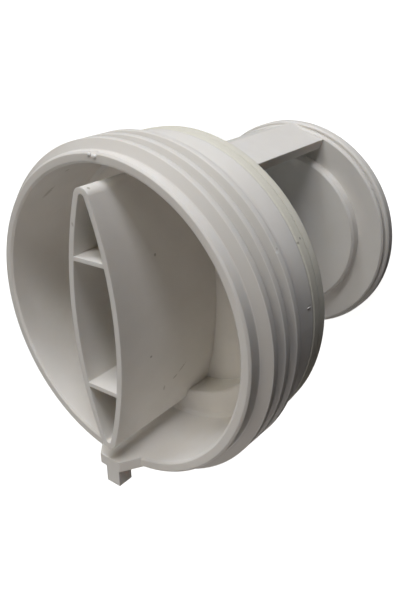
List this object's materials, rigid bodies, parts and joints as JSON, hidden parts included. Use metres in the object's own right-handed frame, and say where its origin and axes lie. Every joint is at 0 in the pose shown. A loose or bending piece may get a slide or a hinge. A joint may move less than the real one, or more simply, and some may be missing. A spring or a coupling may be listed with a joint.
{
  "type": "washer pump filter",
  "caption": "Washing machine drain pump filter: screw-in plastic cup with a hollow lens-shaped grip, a coarse thread and a sealing ring, and bars that carry a round end disc.",
  "frame": {"origin": "centre of the end disc's rear face, on which the filter stands", "axes": "+Z along the axis from the end disc to the cup's mouth, -Y towards the lug on the rim; the grip is turned 1.8 degrees from the line of the lug and the bars"},
  "size_m": [0.0762, 0.078, 0.079],
  "materials": {
    "body_plastic": "satin moulded plastic, lightly scuffed",
    "seal_rubber": "matt cream rubber"
  },
  "bodies": {
    "root": {"filter_body": "body_plastic", "sealing_ring": "seal_rubber"}
  },
  "joints": []
}
